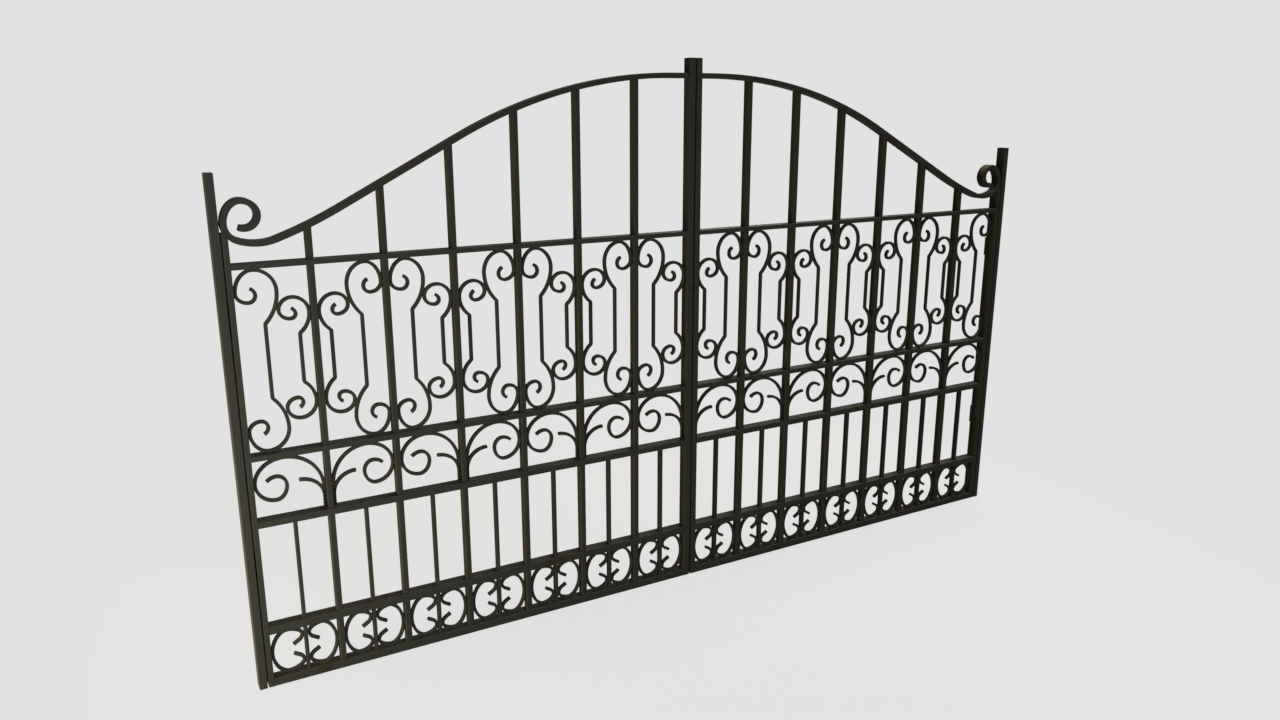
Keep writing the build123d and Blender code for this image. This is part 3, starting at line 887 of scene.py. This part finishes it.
floor_paint = bpy.data.materials.new("floor paint")
floor_paint.use_nodes = True
tree = floor_paint.node_tree
matt_floor = tree.nodes["Principled BSDF"]
matt_floor.inputs["Roughness"].default_value = 0.9
matt_floor.inputs["Specular IOR Level"].default_value = 0.0
spot = add_node(tree, "ShaderNodeNewGeometry")
drawn_in = add_node(
    tree, "ShaderNodeVectorMath", {1: (1.0, narrower_in_depth, 1.0)}, operation="MULTIPLY")
offset = add_node(tree, "ShaderNodeVectorMath", {1: (centre_x * MM, 0, 0)}, operation="DISTANCE")
away = {"From Min": 1.9, "From Max": 2.45}
plain_share = add_node(tree, "ShaderNodeMapRange", {**away, "To Min": 1 - lit_share, "To Max": 1.0})
plain_glow = add_node(
    tree, "ShaderNodeMapRange", {**away, "To Min": glow_by_gate, "To Max": backdrop})
glow = add_node(tree, "ShaderNodeEmission", {"Color": (1, 1, 1, 1)})
seen = seen_directly(tree)
albedo = add_node(tree, "ShaderNodeMapRange", {"To Min": bounce_albedo, "To Max": seen_albedo})
shown = add_node(tree, "ShaderNodeMath", operation="MULTIPLY")
mixed = add_node(tree, "ShaderNodeMixShader")
tree.links.new(spot.outputs["Position"], drawn_in.inputs[0])
tree.links.new(drawn_in.outputs[0], offset.inputs[0])
tree.links.new(offset.outputs["Value"], plain_share.inputs["Value"])
tree.links.new(offset.outputs["Value"], plain_glow.inputs["Value"])
tree.links.new(plain_glow.outputs[0], glow.inputs["Strength"])
tree.links.new(plain_share.outputs[0], shown.inputs[0])
tree.links.new(seen, shown.inputs[1])
tree.links.new(seen, albedo.inputs["Value"])
tree.links.new(albedo.outputs[0], matt_floor.inputs["Base Color"])
tree.links.new(shown.outputs[0], mixed.inputs["Fac"])
tree.links.new(matt_floor.outputs[0], mixed.inputs[1])
tree.links.new(glow.outputs[0], mixed.inputs[2])
tree.links.new(mixed.outputs[0], tree.nodes["Material Output"].inputs["Surface"])
far = 400.0
corners = [(-far, -far, 0), (far, -far, 0), (far, far, 0), (-far, far, 0)]
floor_mesh = bpy.data.meshes.new("floor")
floor_mesh.from_pydata(corners, [], [(0, 1, 2, 3)])
floor_mesh.materials.append(floor_paint)
floor = bpy.data.objects.new("floor", floor_mesh)
floor.location.z = -0.0005
bpy.context.scene.collection.objects.link(floor)

world = bpy.data.worlds.new("studio")
bpy.context.scene.world = world
world.use_nodes = True
tree = world.node_tree
sky = tree.nodes["Background"]
sky.inputs["Color"].default_value = (1.0, 0.98, 0.95, 1)
sky.inputs["Strength"].default_value = 0.04
seen_sky = add_node(
    tree, "ShaderNodeBackground", {"Color": (backdrop, backdrop, backdrop, 1), "Strength": 1.0})
mixed = add_node(tree, "ShaderNodeMixShader")
tree.links.new(seen_directly(tree), mixed.inputs["Fac"])
tree.links.new(sky.outputs[0], mixed.inputs[1])
tree.links.new(seen_sky.outputs[0], mixed.inputs[2])
tree.links.new(mixed.outputs[0], tree.nodes["World Output"].inputs["Surface"])


def soft_lamp(name, place, target, size, power, colour):
    """A rectangular lamp that points at a target."""
    data = bpy.data.lights.new(name, "AREA")
    data.shape = "RECTANGLE"
    data.size, data.size_y = size
    data.energy = power
    data.color = colour
    lamp = bpy.data.objects.new(name, data)
    lamp.location = place
    lamp.rotation_euler = (Vector(target) - Vector(place)).to_track_quat("-Z", "Y").to_euler()
    bpy.context.scene.collection.objects.link(lamp)


soft_lamp("left_lamp", place=(-1.1, -2.7, 1.2), target=(-0.9, 0, 0.9), size=(1.0, 1.0),
          power=64.0, colour=(1.0, 1.0, 0.99))
soft_lamp("right_lamp", place=(3.4, -4.4, 1.8), target=(0.5, 0, 0.9), size=(1.6, 1.6),
          power=47.0, colour=(1.0, 1.0, 0.99))
soft_lamp("side_lamp", place=(-1.5, -0.2, 0.45), target=(1.0, 0, 0.3), size=(1.0, 0.7),
          power=88.0, colour=(1.0, 0.88, 0.70))
soft_lamp("overhead_lamp", place=(4.5, 0.1, 5.8), target=(4.2, 0.1, 0.0), size=(2.0, 1.0),
          power=350.0, colour=(1.0, 0.95, 0.87))
soft_lamp("back_lamp", place=(4.6, 3.4, 3.6), target=(2.2, 0, 0.9), size=(2.0, 1.6),
          power=90.0, colour=(1.0, 0.98, 0.94))

looks_down = 14.59
looks_right = 29.77
camera_data = bpy.data.cameras.new("camera")
camera_data.sensor_width = 36.0
camera_data.lens = 27.786
camera_data.clip_end = 1000.0
camera = bpy.data.objects.new("camera", camera_data)
camera.location = (-0.39592, -3.51002, 2.09487)
camera.rotation_euler = (radians(90 - looks_down), 0, radians(-looks_right))
bpy.context.scene.collection.objects.link(camera)
bpy.context.scene.camera = camera
bpy.context.scene.view_settings.view_transform = "Standard"
